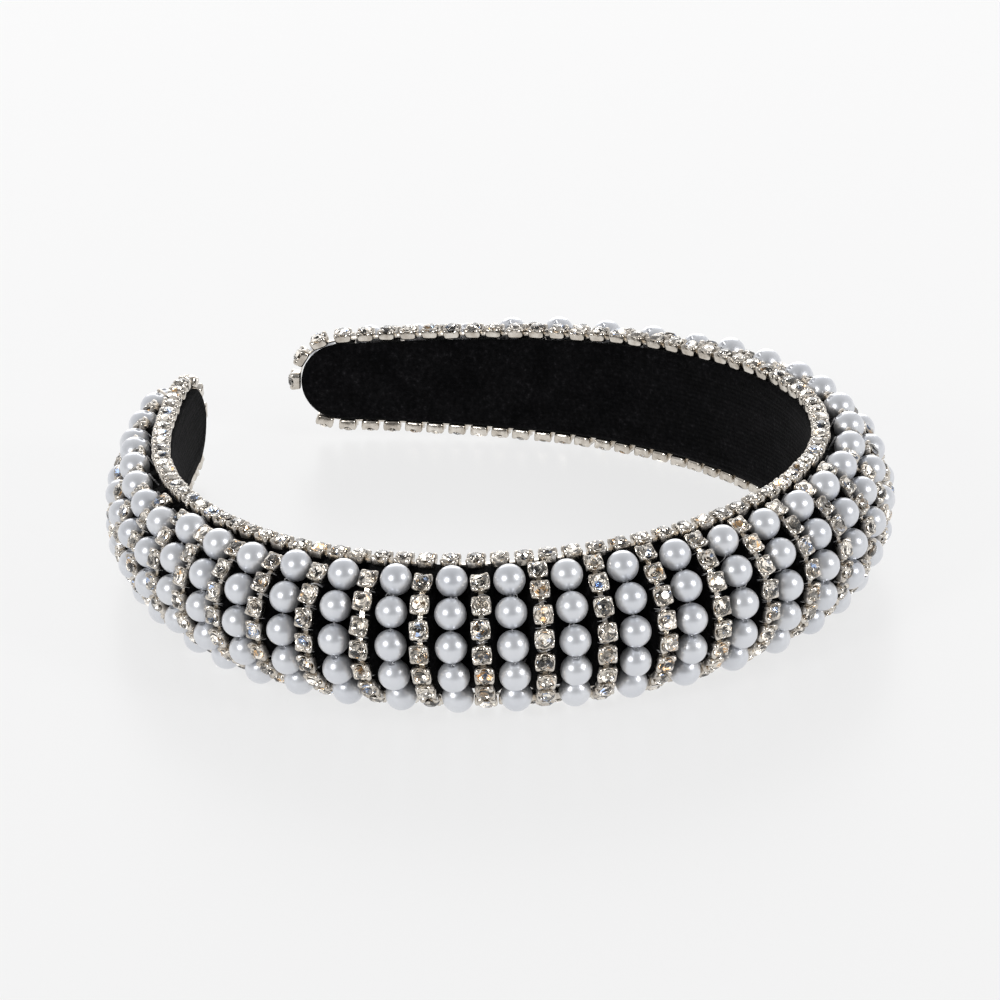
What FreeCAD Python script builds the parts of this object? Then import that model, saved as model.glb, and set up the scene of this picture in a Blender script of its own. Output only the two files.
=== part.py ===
import FreeCAD, Part
import math
import os

from FreeCAD import Placement, Rotation, Vector

# Padded evening headband lying on its edge, in millimetres, +Z across the band's width.
# The band's inner line is a curve in plan, symmetric about the Y axis: it starts at the
# crown, heading +X, and turns towards the tips at +Y. Along it, s is the distance from
# the crown, n the distance outwards from the lining and z the height from the middle.

# The inner line: three arcs on each side of the crown.
CROWN_RADIUS = 59.0
SHOULDER_RADIUS = 82.0
ARM_RADIUS = 177.0
CROWN_ARC_END = 87.0
SHOULDER_ARC_END = 144.0
HALF_LENGTH = 193.2

# The band's width and its padding.
CROWN_HALF_WIDTH = 12.7
TIP_HALF_WIDTH = 7.7
WIDTH_FALL = 1.05
CROWN_PADDING = 10.1
TIP_PADDING = 4.5
PADDING_FALL = 3.2
TIP_ROUNDING = 8.0

# The layers, from the head outwards.
LINING_THICKNESS = 0.8
CORE_THICKNESS = 1.2
CORE_INSET = 3.2
COVER_THICKNESS = 0.8
LAYER_GAP = 0.1

# The pearls and the thread that they are strung on; each strand is sewn a few degrees
# towards the upper edge, where it has room.
PEARL_DIAMETER = 6.0
PEARL_GAP = 0.25
MOST_PEARLS = 5
STRAND_TILT = 3.3
PEARL_OVERHANG = 3.0
THREAD_DIAMETER = 0.3
THREAD_CLEARANCE = 0.03

# The stones.
STONE_DIAMETER = 3.0
TABLE_DIAMETER = 1.7
GIRDLE_HEIGHT = 0.2
CROWN_HEIGHT = 0.55
STONE_CLEARANCE = 0.05

# The cup chain, on the edges and across the band.
CUP_WALL = 0.2
CUP_HEIGHT = 2.0
CUP_FLOOR = 0.3
CULET_SEAT = 0.1
CUP_GAP = 1.1
LINK_CLEARANCE = 0.4
LINK_WIDTH = 0.9
LINK_THICKNESS = 0.35
EDGE_CHAIN_SETBACK = 0.4
EDGE_CHAIN_GAP = 0.2

# The velvet's folds, and the room that they leave beside the cups and the pearls.
FOLD_RISE = 3.0
FOLD_MARGIN = 0.05
STRAND_GAP = 0.05

# Where the arms flex, and the room that they need to close.
HINGE_STRAND = 5
HINGE_RELIEF = 1.0

# How far round the tip each edge chain goes, in degrees from the upper edge.
UPPER_CHAIN_END = 100.0
LOWER_CHAIN_START = 150.0

# How finely an edge is walked, and how far cutting tools stand out past what they cut.
WALK_STEP = 0.05
SLOPE_STEP = 0.1
CUT_MARGIN = 5.0

# What follows from the sizes above.
ORIGIN = Vector(0, 0, 0)
UP = Vector(0, 0, 1)
PEARL_RADIUS = PEARL_DIAMETER / 2
PEARL_PITCH = PEARL_DIAMETER + PEARL_GAP
CUP_SIDE = STONE_DIAMETER + 2 * CUP_WALL
CHAIN_PITCH = CUP_SIDE + CUP_GAP
LINK_LENGTH = CUP_GAP - LINK_CLEARANCE
EDGE_CHAIN_OFFSET = CUP_SIDE / 2 + EDGE_CHAIN_SETBACK
FOLD_LENGTH = CUP_SIDE + FOLD_MARGIN
STRAND_PITCH = PEARL_DIAMETER + CUP_SIDE + STRAND_GAP
LAYERS_TOP = LINING_THICKNESS + LAYER_GAP
CORE_TOP = LAYERS_TOP + CORE_THICKNESS
ROUND_START = HALF_LENGTH - TIP_ROUNDING


# ---- the inner line -------------------------------------------------------------------

def bends():
    """The arcs of one side, as start, end and radius."""
    return (
        (0.0, CROWN_ARC_END, CROWN_RADIUS),
        (CROWN_ARC_END, SHOULDER_ARC_END, SHOULDER_RADIUS),
        (SHOULDER_ARC_END, HALF_LENGTH + TIP_ROUNDING, ARM_RADIUS),
    )


def station(s):
    """The point of the inner line at s, its heading in radians, and the arc's radius."""
    x, y, heading = 0.0, 0.0, 0.0
    for start, end, radius in bends():
        run = min(s, end) - start
        turned = heading + run / radius
        x += radius * (math.sin(turned) - math.sin(heading))
        y += radius * (math.cos(heading) - math.cos(turned))
        heading = turned
        if s <= end:
            break
    return Vector(x, y, 0), heading, radius


def outward(heading):
    return Vector(math.sin(heading), -math.cos(heading), 0)


def section_placement(s):
    """Puts a shape drawn with X outwards and Z up at s on the inner line."""
    point, heading, _ = station(s)
    return Placement(point, Rotation(UP, math.degrees(heading) - 90))


def half_width(s):
    share = min(abs(s) / HALF_LENGTH, 1.0)
    fall = (1 - share ** 2) ** WIDTH_FALL
    return TIP_HALF_WIDTH + (CROWN_HALF_WIDTH - TIP_HALF_WIDTH) * fall


def outline_half_width(s):
    """The half width with the tip's rounding taken off."""
    past = max(abs(s) - ROUND_START, 0) / TIP_ROUNDING
    return half_width(min(abs(s), ROUND_START)) * math.sqrt(max(1 - past ** 2, 0))


def padding(s):
    """How far the velvet stands out from the lining between the folds."""
    share = min(abs(s) / HALF_LENGTH, 1.0)
    return TIP_PADDING + (CROWN_PADDING - TIP_PADDING) * (1 - share ** PADDING_FALL)


def dome(s):
    """The radius of the domed cover's section, and the n of its centre."""
    rise = padding(s) - LAYERS_TOP
    radius = (half_width(s) ** 2 + rise ** 2) / (2 * rise)
    return radius, padding(s) - radius


# ---- sections and the solids swept from them ----------------------------------------------

def dome_section(radius, centre, foot, lift, wall_half):
    """A section with a flat foot and a round back; lift raises the back on side walls."""
    reach = math.sqrt(max(radius ** 2 - (foot - centre) ** 2, 0))
    half = min(reach, wall_half)
    top = Vector(centre + radius + lift, 0, 0)
    points = [Vector(foot, 0, -half), Vector(foot, 0, half)]
    low, high = Vector(foot + lift, 0, -half), Vector(foot + lift, 0, half)
    edges = [Part.makeLine(points[1], points[0]), Part.Arc(low, top, high).toShape()]
    if lift:
        edges.insert(1, Part.makeLine(points[0], low))
        edges.append(Part.makeLine(high, points[1]))
    return Part.Face(Part.Wire(edges))


def swept(section, start, end):
    """Carries a section along the inner line from start to end, within one arc."""
    point, heading, radius = station((start + end) / 2)
    centre = point - outward(heading) * radius
    section.Placement = section_placement(start)
    return section.revolve(centre, UP, math.degrees((end - start) / radius))


def section_spans(start, end):
    """The stretches from start to end, each (start, end, is_fold), one per strand."""
    spans = []
    half = (STRAND_PITCH - FOLD_LENGTH) / 2
    first = math.floor(start / STRAND_PITCH) - 1
    last = math.ceil(end / STRAND_PITCH) + 1
    for number in range(first, last):
        middle = number * STRAND_PITCH
        for low, high, fold in (
            (middle - half, middle + half, False),
            (middle + half, middle + half + FOLD_LENGTH, True),
        ):
            low, high = max(low, start), min(high, end)
            if high - low > LAYER_GAP:
                spans += split_at_bends(low, high, fold)
    return spans


def split_at_bends(low, high, fold):
    """Cuts a stretch where the arcs meet, but never so near its end as to leave a sliver."""
    inner = [end for _, end, _ in bends() if low + LAYER_GAP < end < high - LAYER_GAP]
    cuts = [low] + inner + [high]
    return [(a, b, fold) for a, b in zip(cuts, cuts[1:])]


def padded_solid(start, end, foot, inset, folds):
    """The domed padding, inset from the cover's outside, from the height foot up."""
    pieces = []
    for low, high, fold in section_spans(start, end):
        far = max(abs(low), abs(high))
        radius, centre = dome(far)
        lift = FOLD_RISE if folds and fold else 0.0
        section = dome_section(radius - inset, centre, foot, lift, half_width(far))
        pieces.append(swept(section, low, high))
    return pieces[0].multiFuse(pieces[1:]).removeSplitter()


def band_solid(start, end, low_n, high_n, inset):
    """A flat strip that narrows with the band, lofted through its sections."""
    spans = max(4, round((end - start) / STRAND_PITCH))
    wires = []
    for step in range(spans + 1):
        s = start + (end - start) * step / spans
        half = half_width(s) - inset
        corners = [(low_n, -half), (low_n, half), (high_n, half), (high_n, -half)]
        points = [Vector(n, 0, z) for n, z in corners]
        wire = Part.makePolygon(points + points[:1])
        wire.Placement = section_placement(s)
        wires.append(wire)
    return Part.makeLoft(wires, True, False)


def rounded(shape, inset):
    """Rounds the band's tip to half an ellipse, set in from the outside by inset."""
    deep = CROWN_PADDING + FOLD_RISE + 2 * CUT_MARGIN
    wide = CROWN_HALF_WIDTH + CUT_MARGIN
    tall = half_width(ROUND_START) - inset
    long = TIP_ROUNDING - inset
    major, minor = max(long, tall), min(long, tall)
    ellipse = Part.Ellipse(ORIGIN, major, minor).toShape()
    oval = Part.Face(Part.Wire(ellipse)).extrude(Vector(0, 0, deep))
    turn = Rotation(Vector(0, 1, 0), 90)
    if tall < long:
        turn = turn.multiply(Rotation(UP, 90))
    oval.Placement = Placement(Vector(-CUT_MARGIN, 0, 0), turn)
    corner = Vector(-CUT_MARGIN, 0, -wide)
    block = Part.makeBox(deep, 2 * TIP_ROUNDING, 2 * wide, corner)
    cutter = block.cut(oval)
    cutter.Placement = section_placement(ROUND_START)
    return shape.cut(cutter)


def soft_and_core(start, end, has_tip):
    """The lining, spring core, foam pad and velvet cover of one stretch of the band."""
    lining = band_solid(start, end, 0, LINING_THICKNESS, 0)
    core = band_solid(start, end, LAYERS_TOP, CORE_TOP, CORE_INSET)
    cover = padded_solid(start, end, LAYERS_TOP, 0, True)
    hollow = padded_solid(start, end, LAYERS_TOP, COVER_THICKNESS, False)
    foam_inset = COVER_THICKNESS + LAYER_GAP
    foam = padded_solid(start, end, CORE_TOP + LAYER_GAP, foam_inset, False)
    if has_tip:
        lining = rounded(lining, 0)
        core = rounded(core, CORE_INSET)
        cover = rounded(cover, 0)
        hollow = rounded(hollow, COVER_THICKNESS)
        foam = rounded(foam, foam_inset)
    return {
        "velvet_lining": lining,
        "spring_core": core,
        "foam_pad": foam,
        "velvet_cover": cover.cut(hollow),
    }


# ---- pearls ---------------------------------------------------------------------------

def strand_angles(count, pitch, radius):
    """The angles of count pieces, spaced by pitch on a circle, symmetric about 0."""
    step = 2 * math.asin(pitch / (2 * radius))
    return [(index - (count - 1) / 2) * step for index in range(count)]


def pearl_ring(s):
    """The circle that a strand's pearls sit on: its radius and the n of its centre."""
    radius, centre = dome(s)
    return radius + PEARL_RADIUS + LAYER_GAP / 2, centre


def clears_edge_chain(s, n, z):
    """Whether a pearl centred at n, z stays off the cups on the band's edge."""
    half = outline_half_width(s)
    away_n = max(n - EDGE_CHAIN_OFFSET - CUP_SIDE / 2, 0)
    away_z = max(half + EDGE_CHAIN_GAP - abs(z), 0)
    inside = abs(z) + PEARL_RADIUS <= half + PEARL_OVERHANG
    return inside and math.hypot(away_n, away_z) > PEARL_RADIUS + LAYER_GAP


def pearl_angles(s):
    """As many pearls as fit between the edge chains, up to the most that are strung."""
    radius, centre = pearl_ring(s)
    for count in range(MOST_PEARLS, 1, -1):
        for tilt in (math.radians(STRAND_TILT), 0.0):
            angles = [a + tilt for a in strand_angles(count, PEARL_PITCH, radius)]
            n = centre + radius * math.cos(angles[-1])
            if clears_edge_chain(s, n, radius * math.sin(angles[-1])):
                return angles
    return angles


def pearl_hole():
    """A drill size that lets the thread through where its arc is tightest, at the tip."""
    bow = PEARL_DIAMETER ** 2 / (8 * pearl_ring(HALF_LENGTH)[0])
    return THREAD_DIAMETER + 2 * (bow + THREAD_CLEARANCE)


def pearl_strand(s):
    """The pearls of one strand, drilled along the thread."""
    radius, centre = pearl_ring(s)
    drill = pearl_hole() / 2
    pearls = []
    for angle in pearl_angles(s):
        pearl = Part.makeSphere(PEARL_RADIUS)
        hole = Part.makeCylinder(drill, PEARL_DIAMETER, Vector(0, 0, -PEARL_RADIUS))
        pearl = pearl.cut(hole)
        turn = Rotation(Vector(0, 1, 0), -math.degrees(angle))
        place = Vector(centre + radius * math.cos(angle), 0, radius * math.sin(angle))
        pearl.Placement = section_placement(s).multiply(Placement(place, turn))
        pearls.append(pearl)
    return pearls


def pearl_thread(s):
    """The thread of one strand: an arc through the pearls, with an end down each side."""
    radius, centre = pearl_ring(s)
    thread = THREAD_DIAMETER / 2
    beside = PEARL_RADIUS + thread + LAYER_GAP
    angles = pearl_angles(s)
    low = angles[0] - math.asin(beside / radius)
    high = angles[-1] + math.asin(beside / radius)
    middle = Vector(centre, 0, 0)
    ends = []
    for reach in (low, high):
        direction = Vector(math.cos(reach), 0, math.sin(reach))
        top = middle + direction * radius
        fall = PEARL_RADIUS - LAYER_GAP / 2
        ends.append(Part.makeCylinder(thread, fall, top - direction * fall, direction))
        ends.append(Part.makeSphere(thread, top))
    circle = Part.Wire(Part.makeCircle(thread, middle + Vector(radius, 0, 0), Vector(0, 0, 1)))
    axis = Vector(0, 1, 0)
    circle.rotate(middle, axis, -math.degrees(low))
    arc = Part.Face(circle).revolve(middle, axis, -math.degrees(high - low))
    strand = arc.multiFuse(ends)
    strand.Placement = section_placement(s)
    return strand


# ---- cup chain ------------------------------------------------------------------------

def cup(linked):
    """A square cup with a turned seat, its base at the origin and its mouth at +Z."""
    seat_radius = STONE_DIAMETER / 2 + STONE_CLEARANCE
    girdle = CUP_HEIGHT - GIRDLE_HEIGHT - STONE_CLEARANCE
    low = Vector(-CUP_SIDE / 2, -CUP_SIDE / 2, 0)
    body = Part.makeBox(CUP_SIDE, CUP_SIDE, CUP_HEIGHT, low)
    floor = Vector(0, 0, CUP_FLOOR)
    seat = Part.makeCone(CULET_SEAT, seat_radius, girdle - CUP_FLOOR, floor)
    mouth = Part.makeCylinder(seat_radius, CUP_HEIGHT, Vector(0, 0, girdle))
    body = body.cut(seat.fuse(mouth))
    if linked:
        corner = Vector(CUP_SIDE / 2 - LAYER_GAP, -LINK_WIDTH / 2, CUP_FLOOR)
        bar = Part.makeBox(LINK_LENGTH + LAYER_GAP, LINK_WIDTH, LINK_THICKNESS, corner)
        body = body.fuse(bar).removeSplitter()
    return body


def stone():
    """A round stone in its cup: a pointed back, a thin girdle and a flat table."""
    radius = STONE_DIAMETER / 2
    girdle = CUP_HEIGHT - GIRDLE_HEIGHT
    tip = CUP_FLOOR + 2 * STONE_CLEARANCE
    outline = [
        (0, tip),
        (radius - STONE_CLEARANCE, girdle),
        (radius - STONE_CLEARANCE, girdle + GIRDLE_HEIGHT),
        (TABLE_DIAMETER / 2, girdle + GIRDLE_HEIGHT + CROWN_HEIGHT),
        (0, girdle + GIRDLE_HEIGHT + CROWN_HEIGHT),
        (0, tip),
    ]
    wire = Part.makePolygon([Vector(r, 0, z) for r, z in outline])
    return Part.Face(wire).revolve(ORIGIN, UP, 360)


def axes_placement(base, along, facing):
    """Puts a cup's base at base, its link along the chain and its mouth outwards."""
    return Placement(base, Rotation(along, facing.cross(along), facing, "ZXY"))


def placed(shape, placement):
    copy = shape.copy()
    copy.Placement = placement
    return copy


def cross_chain(s):
    """Placements of the cups of one chain across the band, on the crest of its fold."""
    radius, centre = dome(s)
    centre += FOLD_RISE
    base = radius + LAYER_GAP
    middle = base + CUP_HEIGHT / 2
    edge = math.asin(min(half_width(s) / radius, 1.0))
    room = 2 * middle * edge
    count = max(2, int(room / CHAIN_PITCH))
    spot = section_placement(s)
    placements = []
    for angle in strand_angles(count, CHAIN_PITCH, middle):
        facing = Vector(math.cos(angle), 0, math.sin(angle))
        along = Vector(-math.sin(angle), 0, math.cos(angle))
        at = Vector(centre, 0, 0) + facing * base
        placements.append(spot.multiply(axes_placement(at, along, facing)))
    return placements


def edge_outline(last_angle):
    """Fine steps along one edge from the hinge and round the tip: s, z and distance."""
    points = []
    s = HINGE_AT
    while s < ROUND_START:
        points.append((s, half_width(s)))
        s += WALK_STEP
    tall = half_width(ROUND_START)
    angle = 0.0
    while angle < last_angle:
        turn = math.radians(angle)
        points.append((ROUND_START + TIP_ROUNDING * math.sin(turn), tall * math.cos(turn)))
        angle += math.degrees(WALK_STEP / TIP_ROUNDING)
    walked = []
    distance = 0.0
    for (s0, z0), (s1, z1) in zip(points, points[1:]):
        stretch = 1 + EDGE_CHAIN_OFFSET / station(s0)[2]
        along = (s1 - s0) * stretch
        distance += math.hypot(along, z1 - z0)
        walked.append((s1, z1, distance, math.atan2(z1 - z0, along)))
    return walked


def edge_cup_placement(s, z, slope):
    """A cup on the band's edge at s, z; slope is the edge's own direction there."""
    point, heading, _ = station(s)
    tangent = Vector(math.cos(heading), math.sin(heading), 0)
    along = tangent * math.cos(slope) + UP * math.sin(slope)
    facing = UP * math.cos(slope) - tangent * math.sin(slope)
    base = point + outward(heading) * EDGE_CHAIN_OFFSET + UP * z + facing * EDGE_CHAIN_GAP
    return axes_placement(base, along, facing)


def crown_edge_chain():
    """Placements of the upper edge's cups between the two hinges."""
    length = 2 * HINGE_AT * (1 + EDGE_CHAIN_OFFSET / CROWN_RADIUS)
    count = round(length / CHAIN_PITCH)
    pitch = 2 * HINGE_AT / count
    stations = [-HINGE_AT + (index + 0.5) * pitch for index in range(count)]
    placements = []
    for s in stations:
        rise = half_width(s + SLOPE_STEP) - half_width(s - SLOPE_STEP)
        slope = math.atan2(rise, 2 * SLOPE_STEP)
        placements.append(edge_cup_placement(s, half_width(s), slope))
    return placements


def arm_edge_chain(last_angle):
    """Placements of an edge's cups from the hinge to where the chain ends at the tip."""
    placements = []
    next_at = CHAIN_PITCH / 2
    for s, z, distance, slope in edge_outline(last_angle):
        if distance >= next_at:
            placements.append(edge_cup_placement(s, z, slope))
            next_at += CHAIN_PITCH
    return placements


def upside_down(shape):
    return shape.mirror(ORIGIN, UP)


def chain_pieces(placements):
    """The cups and stones of one run of chain; its last cup has no link to carry."""
    cups = [placed(LINKED_CUP, placement) for placement in placements[:-1]]
    cups.append(placed(END_CUP, placements[-1]))
    stones = [placed(STONE, placement) for placement in placements]
    return Part.makeCompound(cups), Part.makeCompound(stones)


# ---- the three stretches of the band --------------------------------------------------

def strands(start, end):
    """The pearls, threads, cups and stones that cross the band between start and end."""
    pearls, threads, cups, stones = [], [], [], []
    first = math.ceil(start / STRAND_PITCH)
    last = math.floor(end / STRAND_PITCH)
    for number in range(first - 1, last + 1):
        s = number * STRAND_PITCH
        if start < s < end:
            pearls += pearl_strand(s)
            threads.append(pearl_thread(s))
        s += STRAND_PITCH / 2
        if start < s < end:
            new_cups, new_stones = chain_pieces(cross_chain(s))
            cups += new_cups.Solids
            stones += new_stones.Solids
    return {
        "pearls": Part.makeCompound(pearls),
        "pearl_threads": Part.makeCompound(threads),
        "cross_chain_cups": Part.makeCompound(cups),
        "cross_chain_stones": Part.makeCompound(stones),
    }


def edge_chains(upper, lower):
    """The cups and stones of both edges, from the placements of upper-edge cups."""
    upper_cups, upper_stones = chain_pieces(upper)
    lower_cups, lower_stones = chain_pieces(lower)
    return {
        "upper_edge_cups": upper_cups,
        "upper_edge_stones": upper_stones,
        "lower_edge_cups": upside_down(lower_cups),
        "lower_edge_stones": upside_down(lower_stones),
    }


def crown():
    end = HINGE_AT - HINGE_RELIEF / 2
    pieces = soft_and_core(-end, end, False)
    pieces.update(strands(-end, end))
    chain = crown_edge_chain()
    pieces.update(edge_chains(chain, chain))
    return pieces


def arm():
    """The right arm; the left one is its mirror image."""
    start = HINGE_AT + HINGE_RELIEF / 2
    pieces = soft_and_core(start, HALF_LENGTH, True)
    pieces.update(strands(start, HALF_LENGTH - TIP_ROUNDING / 2))
    upper = arm_edge_chain(UPPER_CHAIN_END)
    lower = arm_edge_chain(180 - LOWER_CHAIN_START)
    pieces.update(edge_chains(upper, lower))
    return pieces


def hinge_station():
    """Midway through the clear space between a pearl strand and the next chain."""
    strand = HINGE_STRAND * STRAND_PITCH
    return strand + STRAND_PITCH / 4 + (PEARL_RADIUS - CUP_SIDE / 2) / 2


def headband():
    pieces = {f"{name}_crown": shape for name, shape in crown().items()}
    for name, shape in arm().items():
        pieces[f"{name}_right"] = shape
        pieces[f"{name}_left"] = shape.mirror(ORIGIN, Vector(1, 0, 0))
    return pieces


def write_parts(pieces):
    """Sets the origin under the middle of the band and writes one file per piece."""
    hard = [shape for name, shape in pieces.items() if "edge" in name or "cross" in name]
    pearls = [shape for name, shape in pieces.items() if name.startswith("pearls")]
    box = Part.makeCompound(hard + pearls).optimalBoundingBox()
    shift = Vector(0, -(box.YMin + box.YMax) / 2, -box.ZMin)
    os.makedirs("parts", exist_ok=True)
    for name, shape in pieces.items():
        moved = shape.copy()
        moved.translate(shift)
        moved.exportStep(f"parts/{name}.step")
    return shift, box


HINGE_AT = hinge_station()
LINKED_CUP = cup(True)
END_CUP = cup(False)
STONE = stone()

all_pieces = headband()
origin_shift, whole_box = write_parts(all_pieces)
hinge_point, hinge_heading, _ = station(HINGE_AT)
pivot_n = CROWN_PADDING + PEARL_DIAMETER + 2 * LAYER_GAP
pivot = hinge_point + outward(hinge_heading) * pivot_n + origin_shift
print("right hinge", pivot, "size", whole_box.XLength, whole_box.YLength, whole_box.ZLength)
print("origin shift", origin_shift)
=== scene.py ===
import math
import random

import bpy
import numpy as np
from mathutils import Matrix, Vector


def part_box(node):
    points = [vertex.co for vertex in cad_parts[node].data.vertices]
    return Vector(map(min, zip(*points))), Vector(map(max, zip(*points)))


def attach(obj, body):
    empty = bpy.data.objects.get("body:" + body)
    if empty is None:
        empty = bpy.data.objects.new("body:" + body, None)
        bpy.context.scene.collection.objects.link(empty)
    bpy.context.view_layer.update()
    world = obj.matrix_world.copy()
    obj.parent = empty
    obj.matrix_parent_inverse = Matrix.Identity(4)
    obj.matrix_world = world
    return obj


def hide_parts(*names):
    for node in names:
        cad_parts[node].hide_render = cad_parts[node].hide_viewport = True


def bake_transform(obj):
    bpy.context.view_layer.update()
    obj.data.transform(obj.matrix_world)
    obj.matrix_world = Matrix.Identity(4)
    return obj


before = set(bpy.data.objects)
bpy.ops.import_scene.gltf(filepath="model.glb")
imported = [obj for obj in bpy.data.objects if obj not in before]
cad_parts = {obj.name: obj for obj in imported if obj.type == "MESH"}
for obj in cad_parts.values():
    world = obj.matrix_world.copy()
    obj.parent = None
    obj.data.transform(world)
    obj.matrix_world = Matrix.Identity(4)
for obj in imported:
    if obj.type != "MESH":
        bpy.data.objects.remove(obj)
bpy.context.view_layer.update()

MM = 0.001
SIDES = ("right", "left")
BODIES = {"crown": "crown", "right": "right_arm", "left": "left_arm"}
rng = random.Random(7)

# ---- the band's own sizes, in millimetres ----------------------------------------------

# The inner line: three arcs on each side of the crown, as end and radius.
BENDS = ((87.0, 59.0), (144.0, 82.0), (205.0, 177.0))
HALF_LENGTH = 193.2
TIP_ROUNDING = 8.0
CROWN_HALF_WIDTH = 12.7
TIP_HALF_WIDTH = 7.7
WIDTH_FALL = 1.05
CROWN_PADDING = 10.1
TIP_PADDING = 4.5
PADDING_FALL = 3.2
STRAND_PITCH = 9.45
FOLD_RISE = 3.0
LINING_TOP = 0.8
HINGE_AT = 50.26
BLEND_REACH = 7.0

# The small pieces.
PEARL_RADIUS = 3.0
DRILL_RADIUS = 0.5
CUP_SIDE = 3.4
CUP_FLARE = 0.14
STONE_RADIUS = 1.6
LINK_WIDTH = 1.1
LINK_RINGS, LINK_CORNERS = 4, 16
STITCH_RADIUS = 0.1
STITCH_RINGS, STITCH_AROUND = 9, 6
CHAIN_PITCH = 4.5


def station(s):
    """The point of the inner line at s, and its heading in radians, for either arm."""
    x, y, heading, start = 0.0, 0.0, 0.0, 0.0
    for end, radius in BENDS:
        turned = heading + (min(abs(s), end) - start) / radius
        x += radius * (math.sin(turned) - math.sin(heading))
        y += radius * (math.cos(heading) - math.cos(turned))
        heading, start = turned, end
        if abs(s) <= end:
            break
    return math.copysign(x, s), y, math.copysign(heading, s)


# The frame's lining gives where the inner line's own axes lie: its crown is at the front.
lining_low, lining_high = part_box("velvet_lining_crown")
CROWN_Y = lining_low.y / MM + LINING_TOP
MIDDLE_Z = (lining_low.z + lining_high.z) / 2 / MM


def at(s, n, z):
    """The point at s along the band, n outwards and z up, in metres in the row frame."""
    x, y, heading = station(s)
    x += n * math.sin(heading)
    y -= n * math.cos(heading)
    return Vector((x, y + CROWN_Y, z + MIDDLE_Z)) * MM


def half_width(s):
    share = min(abs(s) / HALF_LENGTH, 1.0)
    fall = (1 - share ** 2) ** WIDTH_FALL
    return TIP_HALF_WIDTH + (CROWN_HALF_WIDTH - TIP_HALF_WIDTH) * fall


def padding(s):
    share = min(abs(s) / HALF_LENGTH, 1.0)
    return TIP_PADDING + (CROWN_PADDING - TIP_PADDING) * (1 - share ** PADDING_FALL)


def smooth(value):
    value = min(max(value, 0.0), 1.0)
    return value * value * (3 - 2 * value)


# ---- materials --------------------------------------------------------------------------

class Shade:
    """A node material under construction: one Principled shader and what feeds it."""

    def __init__(self, name, colour, **sockets):
        self.material = bpy.data.materials.new(name)
        self.material.use_nodes = True
        self.tree = self.material.node_tree
        self.shader = self.tree.nodes["Principled BSDF"]
        self.set(self.shader, **{"Base Color": (*colour, 1.0)})
        for socket, value in sockets.items():
            self.shader.inputs[socket.replace("_", " ")].default_value = value
        self.place = self.tree.nodes.new("ShaderNodeTexCoord").outputs["Object"]

    def set(self, node, **values):
        for socket, value in values.items():
            node.inputs[socket].default_value = value

    def add(self, kind, feeds=None, **values):
        node = self.tree.nodes.new("ShaderNode" + kind)
        for key, value in values.items():
            key = key.replace("_", " ")
            if key in node.inputs:
                node.inputs[key].default_value = value
            else:
                setattr(node, key.replace(" ", "_"), value)
        for socket, source in (feeds or {}).items():
            self.tree.links.new(source, node.inputs[socket])
        return node

    def feed(self, socket, source):
        self.tree.links.new(source, self.shader.inputs[socket])

    def noise(self, scale, detail=4.0, roughness=0.55):
        node = self.add("TexNoise", {"Vector": self.place}, Scale=scale, Detail=detail)
        node.inputs["Roughness"].default_value = roughness
        return node.outputs["Fac"]

    def ramp(self, source, stops):
        node = self.add("ValToRGB", {"Fac": source})
        elements = node.color_ramp.elements
        while len(elements) < len(stops):
            elements.new(0.5)
        for element, (position, colour) in zip(elements, stops):
            element.position = position
            element.color = (*colour, 1.0)
        return node.outputs["Color"]

    def multiplied(self, one, other):
        node = self.add("Mix", data_type="RGBA", blend_type="MULTIPLY")
        node.inputs[0].default_value = 1.0
        self.tree.links.new(one, node.inputs[6])
        self.tree.links.new(other, node.inputs[7])
        return node.outputs[2]

    def bump(self, height, strength, distance):
        node = self.add("Bump", {"Height": height}, Strength=strength, Distance=distance)
        self.feed("Normal", node.outputs["Normal"])

    def span(self, source, low, high):
        node = self.add("MapRange", {"Value": source})
        node.inputs["To Min"].default_value = low
        node.inputs["To Max"].default_value = high
        return node.outputs["Result"]


def velvet_material(name, pile):
    """Short black pile of a given fineness: a thin sheen, and painted sheen specks in the base
    colour, spread in patches.
    """
    shade = Shade(name, (0.004, 0.004, 0.005), Roughness=0.95, Sheen_Weight=0.04,
                  Sheen_Roughness=0.35, Specular_IOR_Level=0.06)
    patches = shade.ramp(shade.noise(160.0, 5.0, 0.6), (
        (0.35, (0.3, 0.3, 0.32)),
        (0.75, (1.0, 0.98, 1.0)),
    ))
    # Painted sheen: lighter specks in the base colour stand in for light caught by the pile.
    painted_sheen_specks = shade.ramp(shade.noise(1100.0, 4.0, 0.75), (
        (0.42, (0.0026, 0.0026, 0.003)),
        (0.6, (0.0085, 0.0083, 0.009)),
        (0.74, (0.04, 0.039, 0.042)),
    ))
    shade.feed("Base Color", shade.multiplied(patches, painted_sheen_specks))
    fine = shade.noise(pile, 3.0, 0.7)
    shade.bump(fine, 0.7, 0.0005)
    return shade


def knit_lining_material():
    """Stretch velvet: the same pile over fine knitted rows."""
    shade = velvet_material("lining_velvet", 2600.0)
    waves = shade.add("TexWave", {"Vector": shade.place}, Scale=340.0, Distortion=1.6)
    waves.bands_direction = "Z"
    waves.inputs["Detail"].default_value = 2.0
    waves.inputs["Detail Scale"].default_value = 3.0
    pile = shade.noise(2600.0, 3.0, 0.7)
    height = shade.add("Math", {0: waves.outputs["Fac"], 1: pile}, operation="MULTIPLY_ADD")
    shade.tree.links.new(pile, height.inputs[2])
    shade.bump(height.outputs["Value"], 0.45, 0.0004)
    return shade


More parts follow.
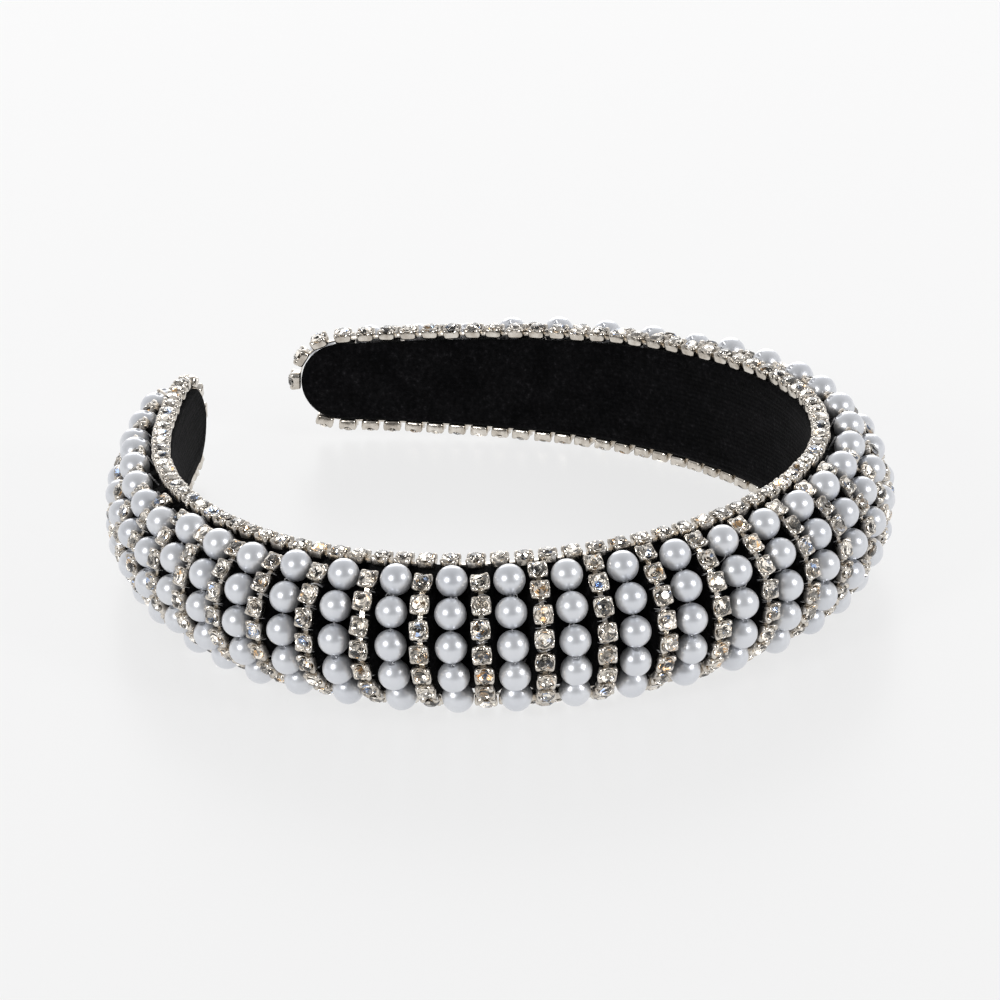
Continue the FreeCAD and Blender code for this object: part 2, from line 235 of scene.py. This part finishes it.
def pearl_material():
    shade = Shade("pearl_lacquer", (0.56, 0.58, 0.62), Metallic=0.6, Roughness=0.34,
                  Coat_Weight=0.4, Coat_Roughness=0.26, Coat_IOR=1.5)
    tint = shade.noise(120.0, 2.0, 0.5)
    shade.feed("Base Color", shade.ramp(tint, (
        (0.3, (0.69, 0.71, 0.755)),
        (0.7, (0.77, 0.785, 0.815)),
    )))
    shade.feed("Roughness", shade.span(shade.noise(900.0, 3.0), 0.3, 0.38))
    shade.bump(shade.noise(1500.0, 2.0), 0.05, 0.0001)
    return shade


def silver_material():
    shade = Shade("silver_plate", (0.72, 0.69, 0.64), Metallic=1.0, Roughness=0.2)
    tarnish = shade.noise(420.0, 4.0, 0.6)
    shade.feed("Base Color", shade.ramp(tarnish, (
        (0.32, (0.48, 0.43, 0.37)),
        (0.55, (0.74, 0.69, 0.62)),
        (0.8, (0.88, 0.85, 0.8)),
    )))
    shade.feed("Roughness", shade.span(shade.noise(1300.0, 3.0), 0.12, 0.3))
    shade.bump(shade.noise(2200.0, 2.0), 0.12, 0.0001)
    return shade


def painted_glint_foil_material():
    """The mirrored back of a stone, with painted light: shards that glow as painted glints,
    painted shade on others, and painted coloured fire on a few.
    """
    shade = Shade("stone_foil_painted_glints", (0.9, 0.88, 0.85), Metallic=1.0, Roughness=0.04,
                  Emission_Strength=STONE_GLINT_GLOW)
    cells = shade.add("TexVoronoi", {"Vector": shade.place}, Scale=1500.0)
    shard = shade.add("SeparateColor", {"Color": cells.outputs["Color"]})
    # Painted reflection: dark and bright shards painted into the foil's colour in place of what
    # the facets reflect.
    painted_shard_light = shade.ramp(shard.outputs["Red"], (
        (0.2, (0.08, 0.078, 0.075)),
        (0.45, (0.6, 0.57, 0.53)),
        (0.7, (0.97, 0.94, 0.89)),
    ))
    # Painted fire: a few shards tinted blue or orange in place of coloured light split by the
    # glass.
    painted_fire_hue = shade.ramp(shard.outputs["Green"], (
        (0.04, (0.45, 0.62, 1.0)),
        (0.07, (1.0, 0.99, 0.97)),
        (0.94, (1.0, 0.98, 0.95)),
        (0.97, (1.0, 0.66, 0.34)),
    ))
    painted_shard_colour = shade.multiplied(painted_shard_light, painted_fire_hue)
    shade.feed("Base Color", painted_shard_colour)
    # Painted glint: the brightest shards glow by emission, standing in for sparkle.
    painted_glint = shade.ramp(shard.outputs["Blue"], (
        (0.6, (0.0, 0.0, 0.0)),
        (1.0, (1.0, 1.0, 1.0)),
    ))
    shade.feed("Emission Color", shade.multiplied(painted_shard_colour, painted_glint))
    return shade


def glass_material():
    shade = Shade("stone_glass", (0.98, 0.97, 0.96), Roughness=0.02, IOR=1.56,
                  Transmission_Weight=1.0)
    shade.feed("Roughness", shade.span(shade.noise(900.0, 2.0), 0.0, 0.04))
    return shade


def nylon_material():
    shade = Shade("clear_nylon", (0.85, 0.85, 0.86), Roughness=0.18, IOR=1.5,
                  Transmission_Weight=0.75)
    shade.feed("Roughness", shade.span(shade.noise(1800.0, 2.0), 0.12, 0.3))
    return shade


def foam_material():
    shade = Shade("pad_foam", (0.7, 0.68, 0.62), Roughness=0.95)
    cells = shade.noise(1500.0, 2.0, 0.5)
    shade.feed("Base Color", shade.ramp(cells, (
        (0.35, (0.55, 0.53, 0.47)),
        (0.65, (0.78, 0.76, 0.7)),
    )))
    shade.bump(cells, 0.6, 0.0005)
    return shade


def core_material():
    shade = Shade("core_plastic", (0.04, 0.04, 0.042), Roughness=0.45)
    grain = shade.noise(800.0, 3.0)
    shade.feed("Roughness", shade.span(grain, 0.38, 0.55))
    shade.bump(grain, 0.2, 0.0002)
    return shade


def floor_material():
    shade = Shade("studio_floor", (0.1, 0.1, 0.1), Roughness=0.3, Specular_IOR_Level=0.03)
    shade.set(shade.shader, **{"Emission Color": (1.0, 1.0, 1.0, 1.0)})
    shade.set(shade.shader, **{"Emission Strength": FLOOR_GLOW})
    return shade


FLOOR_GLOW = 0.757    # the pale floor's own light, so that it stays even under the lamps
STONE_GLINT_GLOW = 1.3     # painted glint: how strongly the brightest shards of a stone glow, though they are no lamp
velvet = velvet_material("cover_velvet", 2200.0).material
lining = knit_lining_material().material
pearl = pearl_material().material
silver = silver_material().material
painted_glint_foil = painted_glint_foil_material().material
glass = glass_material().material
nylon = nylon_material().material
foam = foam_material().material
core = core_material().material

# ---- mesh helpers -----------------------------------------------------------------------


def mesh_object(name, points, faces, materials, smooth_faces=True, kinds=None):
    """A new object from points in metres and lists of corner numbers."""
    mesh = bpy.data.meshes.new(name)
    mesh.from_pydata([tuple(p) for p in points], [], faces)
    for material in materials:
        mesh.materials.append(material)
    if kinds is not None:
        mesh.polygons.foreach_set("material_index", kinds)
    mesh.polygons.foreach_set("use_smooth", [smooth_faces] * len(faces))
    mesh.update()
    made = bpy.data.objects.new(name, mesh)
    bpy.context.scene.collection.objects.link(made)
    return made


def repeated(points, faces, places):
    """Copies of one template at each 4x4 place, joined: all points and all faces."""
    template = np.array(points, float)
    count = len(template)
    all_points = []
    all_faces = []
    for number, place in enumerate(places):
        matrix = np.array(place)
        all_points.append(template @ matrix[:3, :3].T + matrix[:3, 3])
        base = number * count
        all_faces += [tuple(base + corner for corner in face) for face in faces]
    return np.concatenate(all_points), all_faces


def tube_faces(rings, around, close_ends=True):
    """Faces of a tube of rings, each of around points, closed at both ends."""
    faces = []
    for ring in range(rings - 1):
        for step in range(around):
            after = (step + 1) % around
            low, high = ring * around, (ring + 1) * around
            faces.append((low + step, low + after, high + after, high + step))
    if close_ends:
        faces.append(tuple(range(around - 1, -1, -1)))
        last = (rings - 1) * around
        faces.append(tuple(last + step for step in range(around)))
    return faces


def finish_piece(piece, body, slot, *nodes):
    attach(piece, body)
    if nodes:
        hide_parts(*nodes)
    return piece


# ---- reading where the frame's small solids lie -------------------------------------------

def islands(node):
    """The separate solids of a CAD node: a list of (points, triangles) in millimetres."""
    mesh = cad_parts[node].data
    points = np.empty(len(mesh.vertices) * 3)
    mesh.vertices.foreach_get("co", points)
    points = points.reshape(-1, 3) / MM
    mesh.calc_loop_triangles()
    triangles = np.empty(len(mesh.loop_triangles) * 3, np.int64)
    mesh.loop_triangles.foreach_get("vertices", triangles)
    keys = np.round(points, 4)
    unique, merged = np.unique(keys, axis=0, return_inverse=True)
    triangles = merged.reshape(-1)[triangles].reshape(-1, 3)
    labels = np.arange(len(unique))
    while True:
        least = labels[triangles].min(axis=1)
        new = labels.copy()
        for corner in range(3):
            np.minimum.at(new, triangles[:, corner], least)
        new = new[new]
        if (new == labels).all():
            break
        labels = new
    owner = labels[triangles[:, 0]]
    order = np.argsort(owner, kind="stable")
    cuts = np.flatnonzero(np.diff(owner[order])) + 1
    return [(unique, triangles[group]) for group in np.split(order, cuts)]


def basis(origin, along, facing):
    """A 4x4 place in metres with its X along, its Z facing, and its origin in mm."""
    facing = Vector(facing).normalized()
    along = Vector(along)
    along = (along - facing * along.dot(facing)).normalized()
    across = facing.cross(along)
    place = Matrix((along, across, facing)).transposed().to_4x4()
    place.translation = Vector(origin) * MM
    return place


def cup_places(node):
    """Each cup's base centre, chain direction and facing, read from its flat base."""
    places = []
    for points, triangles in islands(node):
        a, b, c = (points[triangles[:, corner]] for corner in range(3))
        normals = np.cross(b - a, c - a)
        sizes = np.linalg.norm(normals, axis=1)
        base = int(np.argmax(sizes))
        facing = -normals[base] / sizes[base]
        corners = (a[base], b[base], c[base])
        pairs = ((0, 1), (1, 2), (2, 0))
        i, j = max(pairs, key=lambda p: np.linalg.norm(corners[p[0]] - corners[p[1]]))
        k = 3 - i - j
        centre = (corners[i] + corners[j]) / 2
        side = corners[i] - corners[k]
        side = side / np.linalg.norm(side)
        other = np.cross(facing, side)
        away = points[np.unique(triangles)] - centre
        reach = [(float((away @ d).max()), d) for d in (side, -side, other, -other)]
        along = max(reach, key=lambda r: r[0])[1]
        places.append((Vector(centre), Vector(along), Vector(facing)))
    return places


def pearl_places(node):
    """Each pearl's centre and those of its neighbours on the thread, from the lowest up."""
    centres = []
    for points, triangles in islands(node):
        cloud = points[np.unique(triangles)]
        system = np.hstack([2 * cloud, np.ones((len(cloud), 1))])
        solved = np.linalg.lstsq(system, (cloud ** 2).sum(axis=1), rcond=None)[0]
        centres.append(Vector(solved[:3]))
    found = []
    for centre in centres:
        near = [c for c in centres if 0.1 < (c - centre).length < 1.15 * 2 * PEARL_RADIUS]
        near.sort(key=lambda c: c.z)
        found.append((centre, near))
    return found


# ---- the cups of the chain --------------------------------------------------------------

CUP_AROUND = 32
CUP_LEVELS = 10


def corner_share(turn):
    """0 at the middle of a side and 1 at a corner."""
    return abs(math.sin(2 * turn)) ** 3


def square_outline(turn, half, power):
    """A point at angle turn of a square whose corners are sharper with a higher power."""
    c, s = math.cos(turn), math.sin(turn)
    reach = half / (abs(c) ** power + abs(s) ** power) ** (1 / power)
    return reach * c, reach * s


def cup_template():
    """A stamped cup: thin walls that dip along each side, and four prongs over the stone."""
    half = CUP_SIDE / 2
    rows = []
    for turn in (2 * math.pi * step / CUP_AROUND for step in range(CUP_AROUND)):
        corner = corner_share(turn)
        rim = 1.45 + 0.6 * corner
        lean = 0.34 * corner
        profile = (
            (half - 0.28, 0.0, 5.0),
            (half - 0.06, 0.12, 6.0),
            (half + 0.02, 0.45, 7.0),
            (half + CUP_FLARE, rim - 0.3, 7.0),
            (half + CUP_FLARE - 0.3 * lean, rim, 6.0),
            (half + CUP_FLARE - 0.1 - lean, rim + 0.16 * corner + 0.03, 5.0),
            (half + CUP_FLARE - 0.2 - 1.5 * lean, rim + 0.1 * corner, 4.5),
            (half + CUP_FLARE - 0.24 - 0.7 * lean, rim - 0.22, 5.0),
            (half - 0.2, 0.9, 5.0),
            (half - 0.9, 0.35, 2.5),
        )
        rows.append([(*square_outline(turn, h, p), z) for h, z, p in profile])
    points = [tuple(c * MM for c in rows[step][level])
              for level in range(CUP_LEVELS) for step in range(CUP_AROUND)]
    return points, tube_faces(CUP_LEVELS, CUP_AROUND)


def link_points(start, end):
    """A flat link between two cups, from side to side at the height of their floors."""
    (a, along_a, facing_a), (b, along_b, facing_b) = start, end
    lift = 0.45
    p, q = a + facing_a * lift, b + facing_b * lift
    along = (q - p).normalized()
    facing = (facing_a + facing_b).normalized()
    across = facing.cross(along).normalized()
    inset = CUP_SIDE / 2 - 0.3
    span = (q - p).length
    rings = []
    for share in (0.0, 0.35, 0.65, 1.0):
        spot = p + along * (inset + (span - 2 * inset) * share)
        wide = LINK_WIDTH / 2 * (1.0 if share in (0.0, 1.0) else 0.82)
        for side, height in ((-1, -1), (1, -1), (1, 1), (-1, 1)):
            rings.append((spot + across * side * wide + facing * height * 0.16) * MM)
    return rings


def jittered(place, slide, tilt, turn):
    """The place with the small slips of hand-sewn work, in mm and degrees."""
    origin, along, facing = place
    across = facing.cross(along)
    moved = origin + along * rng.uniform(-slide, slide) + across * rng.uniform(-slide, slide)
    lean = rng.gauss(0, tilt)
    spin = rng.gauss(0, turn)
    swing = Matrix.Rotation(math.radians(max(-9, min(9, lean))), 3, along)
    twist = Matrix.Rotation(math.radians(max(-9, min(9, spin))), 3, facing)
    return moved, swing @ twist @ along, swing @ facing


def chain_order(places):
    """Pairs of neighbouring cups: each with the nearest one ahead along its own link."""
    pairs = []
    for number, (origin, along, _) in enumerate(places):
        best, least = None, 1.35 * CHAIN_PITCH
        for other, (spot, _, _) in enumerate(places):
            gap = (spot - origin).length
            if other != number and gap < least and (spot - origin).dot(along) > 0.8 * gap:
                best, least = other, gap
        if best is not None:
            pairs.append((number, best))
    return pairs


# ---- the stones -------------------------------------------------------------------------

def stone_template():
    """A round cut stone: table, star, kite and girdle facets over a pointed back."""
    radius = STONE_RADIUS - 0.04
    rings = (
        (8, 0.0, 0.86, 2.52),
        (8, 0.5, 1.2, 2.28),
        (16, 0.0, radius, 1.98),
        (16, 0.0, radius, 1.8),
        (8, 0.0, 0.78, 1.02),
    )
    points, starts = [], []
    for count, offset, reach, z in rings:
        starts.append(len(points))
        for step in range(count):
            turn = 2 * math.pi * (step + offset) / count
            points.append((reach * math.cos(turn) * MM, reach * math.sin(turn) * MM, z * MM))
    culet = len(points)
    points.append((0.0, 0.0, 0.4 * MM))
    table, kite, girdle, under, back = starts
    faces = [tuple(table + step for step in range(8))]
    kinds = [0]
    for step in range(8):
        after = (step + 1) % 8
        wide, mid = 2 * step, 2 * step + 1
        wide_after = (2 * step + 2) % 16
        faces.append((table + step, kite + step, table + after))
        before = (step - 1) % 8
        faces.append((table + step, kite + before, girdle + wide, kite + step))
        faces.append((kite + step, girdle + wide, girdle + mid))
        faces.append((kite + step, girdle + mid, girdle + wide_after))
        kinds += [0, 0, 0, 0]
    for step in range(16):
        after = (step + 1) % 16
        faces.append((girdle + step, under + step, under + after, girdle + after))
        kinds.append(0)
    for step in range(8):
        wide, mid = 2 * step, 2 * step + 1
        wide_after = (2 * step + 2) % 16
        after = (step + 1) % 8
        faces.append((under + wide, back + step, under + mid))
        faces.append((under + mid, back + step, back + after))
        faces.append((under + mid, back + after, under + wide_after))
        faces.append((back + step, culet, back + after))
        kinds += [1, 1, 1, 1]
    return points, faces, kinds


# ---- the pearls -------------------------------------------------------------------------

def pearl_template():
    """A bead, smooth all round, with a drilled hole at both ends of its Z axis."""
    around, rings = 36, 19
    edge = math.asin(DRILL_RADIUS / PEARL_RADIUS)
    profile = [(DRILL_RADIUS * 0.86, -PEARL_RADIUS * 0.8)]
    for step in range(rings):
        turn = edge + (math.pi - 2 * edge) * step / (rings - 1)
        profile.append((PEARL_RADIUS * math.sin(turn), -PEARL_RADIUS * math.cos(turn)))
    profile.append((DRILL_RADIUS * 0.86, PEARL_RADIUS * 0.8))
    points = []
    for reach, z in profile:
        for step in range(around):
            turn = 2 * math.pi * step / around
            points.append((reach * math.cos(turn) * MM, reach * math.sin(turn) * MM, z * MM))
    return points, tube_faces(len(profile), around)


INNER_LINE = [(at(s, 0, 0) / MM).to_tuple() for s in range(-192, 193, 2)]
CUP = cup_template()
STONE = stone_template()
PEARL = pearl_template()
SLIP, TILT, TURN = 0.12, 2.6, 3.2    # hand-sewn slips of a cup: mm, degrees and degrees


def build_chain(run, region):
    """The cups, links and stones of one run of chain on one stretch of the band."""
    cups_node, stones_node = f"{run}_cups_{region}", f"{run}_stones_{region}"
    places = [jittered(place, SLIP, TILT, TURN) for place in cup_places(cups_node)]
    matrices = [basis(*place) for place in places]
    points, faces = repeated(*CUP, matrices)
    link_faces = tube_faces(LINK_RINGS, LINK_CORNERS // LINK_RINGS)
    points = [points]
    base = len(points[0])
    for ahead, behind in chain_order(places):
        points.append(np.array(link_points(places[ahead], places[behind])))
        faces += [tuple(base + corner for corner in face) for face in link_faces]
        base += LINK_CORNERS
    cups = mesh_object(f"{run}_settings_{region}", np.concatenate(points), faces, [silver])
    cups.modifiers.new("crease", "EDGE_SPLIT").split_angle = math.radians(50)
    finish_piece(cups, BODIES[region], "cup_metal", cups_node)
    spots = []
    for matrix in matrices:
        spin = Matrix.Rotation(rng.uniform(0, math.tau), 4, "Z")
        tip = Matrix.Rotation(math.radians(rng.uniform(-2.5, 2.5)), 4, "X")
        spots.append(matrix @ tip @ spin)
    stone_points, stone_faces = repeated(STONE[0], STONE[1], spots)
    kinds = STONE[2] * len(spots)
    stones = mesh_object(
        f"{run}_gems_{region}", stone_points, stone_faces, [glass, painted_glint_foil], False, kinds
    )
    finish_piece(stones, BODIES[region], "stone_glass", stones_node)


def thread_loop(start, end, rise, sway):
    """Rings of a thin thread that bows from start to end, in mm, as points in metres."""
    way = end - start
    across = way.cross(rise).normalized()
    rings = []
    for step in range(STITCH_RINGS):
        share = step / (STITCH_RINGS - 1)
        spot = start + way * share + rise * math.sin(math.pi * share)
        spot += across * sway * math.sin(2 * math.pi * share)
        ahead = way + rise * math.pi * math.cos(math.pi * share)
        side = ahead.cross(across).normalized()
        for turn in (2 * math.pi * corner / STITCH_AROUND for corner in range(STITCH_AROUND)):
            edge = side * math.cos(turn) + across * math.sin(turn)
            rings.append((spot + edge * STITCH_RADIUS) * MM)
    return rings


def build_stitches(region):
    """Clear thread: over the links of the cross chains, and in loops beside the pearls."""
    points, faces = [], []
    places = cup_places(f"cross_chain_cups_{region}")
    loops = []
    for ahead, behind in chain_order(places):
        (a, _, facing_a), (b, _, facing_b) = places[ahead], places[behind]
        facing = (facing_a + facing_b).normalized()
        across = facing.cross(b - a).normalized()
        middle = (a + b) / 2 + (b - a).normalized() * rng.uniform(-0.15, 0.15)
        lean = (b - a).normalized() * rng.uniform(-0.3, 0.3)
        for _ in range(rng.choice((1, 1, 2))):
            half = across * rng.uniform(1.0, 1.6)
            rise = facing * rng.uniform(0.85, 1.2)
            loops.append((middle - half - lean, middle + half + lean, rise, 0.1))
            lean = -lean
    for centre, near in pearl_places(f"pearls_{region}"):
        if not near or rng.random() < 0.55:
            continue
        other = rng.choice(near)
        outward = outward_at(centre)
        along = (other - centre).normalized()
        side = outward.cross(along).normalized() * rng.choice((-1, 1))
        start = (centre + other) / 2 + side * 0.3 - outward * 0.4
        end = start + side * rng.uniform(1.2, 2.0) + along * rng.uniform(-1.2, 1.2) - outward
        loops.append((start, end, outward * rng.uniform(0.9, 1.6), rng.uniform(-0.5, 0.5)))
    loop_faces = tube_faces(STITCH_RINGS, STITCH_AROUND)
    for number, loop in enumerate(loops):
        points += thread_loop(*loop)
        base = number * STITCH_RINGS * STITCH_AROUND
        faces += [tuple(base + corner for corner in face) for face in loop_faces]
    stitches = mesh_object(f"stitch_thread_{region}", points, faces, [nylon])
    finish_piece(stitches, BODIES[region], "nylon")


def outward_at(spot):
    """The way out of the band at a point in mm: from the nearest of the inner line's stations."""
    least = min(INNER_LINE, key=lambda p: (p[0] - spot.x) ** 2 + (p[1] - spot.y) ** 2)
    return (spot - Vector((least[0], least[1], MIDDLE_Z))).normalized()


def build_pearls(region):
    node = f"pearls_{region}"
    matrices = []
    for centre, near in pearl_places(node):
        if len(near) > 1:
            axis = near[-1] - near[0]
        elif near:
            axis = near[0] - centre
        else:
            axis = Vector((0, 0, 1))
        helper = Vector((1, 0, 0)) if abs(axis.normalized().x) < 0.8 else Vector((0, 1, 0))
        matrices.append(basis(centre, helper, axis))
    points, faces = repeated(*PEARL, matrices)
    beads = mesh_object(f"pearl_beads_{region}", points, faces, [pearl])
    finish_piece(beads, BODIES[region], "pearl", node)


# ---- the velvet ---------------------------------------------------------------------------

SKIN_STEP = 0.45
SKIN_AROUND = 48


def skin_stations():
    """Where the skin's rings lie, closer together round the tip."""
    flat_end = HALF_LENGTH - TIP_ROUNDING
    count = round(flat_end / SKIN_STEP)
    stations = [flat_end * step / count for step in range(count + 1)]
    for step in range(1, 17):
        stations.append(flat_end + TIP_ROUNDING * math.sin(math.pi / 2 * step / 16.2))
    return stations


def tip_share(s):
    """How much of the section is left at s: 1 along the band, falling to 0 at the tip."""
    past = max(abs(s) - (HALF_LENGTH - TIP_ROUNDING), 0) / TIP_ROUNDING
    return math.sqrt(max(1 - past * past, 0.0))


def fold_lift(s):
    """The height of the pinched fold at s, under the chain midway between two strands."""
    from_chain = abs((s / STRAND_PITCH) % 1.0 - 0.5) * STRAND_PITCH
    return FOLD_RISE * smooth((2.35 - from_chain) / 1.2)


def cover_section(s):
    """Points of the cover at s as (n, z), from the lower edge round the back to the upper."""
    share = tip_share(s)
    half = half_width(min(abs(s), HALF_LENGTH - TIP_ROUNDING)) * share
    half = max(half, 0.15)
    rise = (padding(s) - LINING_TOP) * (0.35 + 0.65 * share)
    radius = (half ** 2 + rise ** 2) / (2 * rise)
    centre = LINING_TOP + rise - radius
    lift = fold_lift(s) * min(share * 1.2, 1.0)
    section = []
    reach = math.asin(min(half / radius, 1.0))
    if rise >= half:
        reach = math.pi - reach
    for step in range(SKIN_AROUND + 1):
        along = 2 * step / SKIN_AROUND - 1
        angle = reach * math.copysign(abs(along) ** 0.94, along)
        raised = lift * (1 - abs(along) ** 14)
        n = centre + radius * math.cos(angle) + raised
        section.append((n, radius * math.sin(angle)))
    return section


def cover_half(side):
    sign = 1 if side == "right" else -1
    rings = []
    stations = skin_stations()
    for s in stations:
        section = cover_section(s)
        low, high = section[0], section[-1]
        foot = 0.35
        inner = [(foot, high[1] * 0.985), (foot + 0.2, 0.0), (foot, low[1] * 0.985)]
        ring = [at(sign * s, n, z) for n, z in section + inner]
        rings.append(ring)
    around = len(rings[0])
    points = [point for ring in rings for point in ring]
    faces = tube_faces(len(rings), around)
    if sign > 0:
        faces = [tuple(reversed(face)) for face in faces]
    skin = mesh_object(f"velvet_cover_skin_{side}", points, faces, [velvet])
    shade_caps_flat(skin)
    return skin


def lining_half(side):
    """The lining: a thin strip with rounded borders and a faint ridge along each."""
    sign = 1 if side == "right" else -1
    rings = []
    for s in skin_stations():
        share = tip_share(s)
        half = half_width(min(abs(s), HALF_LENGTH - TIP_ROUNDING)) * share
        half = max(half, 0.15)
        ridge_at = max(half - 2.6, 0.0)
        ring = []
        for step in range(33):
            z = half * math.sin(math.pi / 2 * (2 * step / 32 - 1))
            edge = 1 - abs(z) / half
            n = 0.45 * (1 - smooth(edge * half / 0.9)) ** 2
            n -= 0.22 * math.exp(-((abs(z) - ridge_at) / 0.5) ** 2) * share
            ring.append((n, z))
        back = [(LINING_TOP, half * 0.97), (LINING_TOP, 0.0), (LINING_TOP, -half * 0.97)]
        rings.append([at(sign * s, n, z) for n, z in ring + back])
    around = len(rings[0])
    points = [point for ring in rings for point in ring]
    faces = tube_faces(len(rings), around)
    if sign < 0:
        faces = [tuple(reversed(face)) for face in faces]
    strip = mesh_object(f"velvet_lining_skin_{side}", points, faces, [lining])
    shade_caps_flat(strip)
    return strip


def shade_caps_flat(piece):
    """The two end faces stay flat and their borders sharp, so that halves meet unseen."""
    mesh = piece.data
    caps = [polygon for polygon in mesh.polygons if len(polygon.vertices) > 4]
    edges = {edge for cap in caps for edge in cap.edge_keys}
    for cap in caps:
        cap.use_smooth = False
    sharp = mesh.attributes.new("sharp_edge", "BOOLEAN", "EDGE")
    sharp.data.foreach_set("value", [edge.key in edges for edge in mesh.edges])


def build_velvet(side):
    sign = 1 if side == "right" else -1
    before = at(sign * (HINGE_AT - BLEND_REACH), 0, 0)
    after = at(sign * (HINGE_AT + BLEND_REACH), 0, 0)
    for piece, node, slot in (
        (cover_half(side), "velvet_cover", "cover_velvet"),
        (lining_half(side), "velvet_lining", "lining_velvet"),
    ):
        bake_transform(piece)
        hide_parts(f"{node}_{side}", f"{node}_crown")


# ---- building ---------------------------------------------------------------------------

for region in BODIES:
    build_pearls(region)
    build_stitches(region)
    for run in ("cross_chain", "upper_edge", "lower_edge"):
        build_chain(run, region)
for side in SIDES:
    build_velvet(side)

for node, material in (("pearl_threads", nylon), ("foam_pad", foam), ("spring_core", core)):
    for region in BODIES:
        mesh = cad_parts[f"{node}_{region}"].data
        mesh.materials.clear()
        mesh.materials.append(material)

# ---- floor, light and camera --------------------------------------------------------------

# The band rests on its lowest pearls and stones, so the floor tilts a little under it.
FLOOR_SLOPE = math.radians(1.43)
FLOOR_TOUCH_Y = -0.0557
FLOOR_GAP = 0.0001
FLOOR_SIZE = 6.0

floor_mesh = bpy.data.meshes.new("floor")
corners = [(-FLOOR_SIZE, -FLOOR_SIZE), (FLOOR_SIZE, -FLOOR_SIZE),
           (FLOOR_SIZE, FLOOR_SIZE), (-FLOOR_SIZE, FLOOR_SIZE)]
slope = math.tan(FLOOR_SLOPE)
floor_points = [(x, y, (y - FLOOR_TOUCH_Y) * slope - FLOOR_GAP) for x, y in corners]
floor_mesh.from_pydata(floor_points, [], [(0, 1, 2, 3)])
floor_mesh.materials.append(floor_material().material)
floor = bpy.data.objects.new("floor", floor_mesh)
bpy.context.scene.collection.objects.link(floor)

# The camera circles the band: how far it is turned, raised and rolled, and how far away.
CAMERA_TURN = math.radians(36.09)
CAMERA_RISE = math.radians(21.43)
CAMERA_ROLL = math.radians(-3.54)
CAMERA_DISTANCE = 1.452
CAMERA_LENS = 269.2
AIM_OFFSET = Vector((36.3, -52.0, 0.0)) * MM

turn_back = Matrix.Rotation(-CAMERA_TURN, 4, "Z")
middle = Vector((0.0, CROWN_Y, MIDDLE_Z)) * MM
aim = turn_back @ (-AIM_OFFSET) + middle
seen_from = Vector((0, -math.cos(CAMERA_RISE), math.sin(CAMERA_RISE))) * CAMERA_DISTANCE
camera_data = bpy.data.cameras.new("camera")
camera_data.lens = CAMERA_LENS
camera_data.sensor_width = 36.0
camera_data.clip_start = 0.05
camera_data.clip_end = 50.0
camera = bpy.data.objects.new("camera", camera_data)
bpy.context.scene.collection.objects.link(camera)
camera.location = aim + turn_back @ seen_from
looking = (aim - camera.location).to_track_quat("-Z", "Y").to_matrix().to_4x4()
camera_turned = looking @ Matrix.Rotation(CAMERA_ROLL, 4, "Z")
camera.rotation_euler = camera_turned.to_euler()
bpy.context.scene.camera = camera


def soft_light(name, direction, distance, size, power):
    """A round area light in a direction given in the camera's own right, up and back axes."""
    light = bpy.data.lights.new(name, "AREA")
    light.shape = "DISK"
    light.size = size
    light.energy = power
    lamp = bpy.data.objects.new(name, light)
    bpy.context.scene.collection.objects.link(lamp)
    way = (looking.to_3x3() @ Vector(direction)).normalized()
    lamp.location = aim + way * distance
    lamp.rotation_euler = way.to_track_quat("Z", "Y").to_euler()


soft_light("left_softbox", (-0.569, 0.19, 0.80), 1.2, 0.3, 5.0)
soft_light("right_softbox", (0.768, 0.232, 0.595), 1.2, 0.32, 4.5)
soft_light("back_softbox", (0.0, 0.75, -0.9), 3.2, 2.6, 32.0)


def studio_world(front, back):
    """Dark towards the camera, where the room is unlit, and pale above and behind."""
    studio = bpy.data.worlds.new("studio")
    studio.use_nodes = True
    tree = studio.node_tree
    place = tree.nodes.new("ShaderNodeTexCoord")
    dot = tree.nodes.new("ShaderNodeVectorMath")
    dot.operation = "DOT_PRODUCT"
    dot.inputs[1].default_value = (camera.location - aim).normalized()
    tree.links.new(place.outputs["Generated"], dot.inputs[0])
    shares = tree.nodes.new("ShaderNodeMapRange")
    shares.inputs["From Min"].default_value = -0.4
    shares.inputs["From Max"].default_value = 0.9
    shares.inputs["To Min"].default_value = back
    shares.inputs["To Max"].default_value = front
    tree.links.new(dot.outputs["Value"], shares.inputs["Value"])
    tree.links.new(shares.outputs["Result"], tree.nodes["Background"].inputs["Strength"])
    tree.nodes["Background"].inputs["Color"].default_value = (1.0, 1.0, 1.01, 1.0)
    return studio


bpy.context.scene.world = studio_world(0.22, 0.8)
bpy.context.scene.view_settings.view_transform = "Standard"
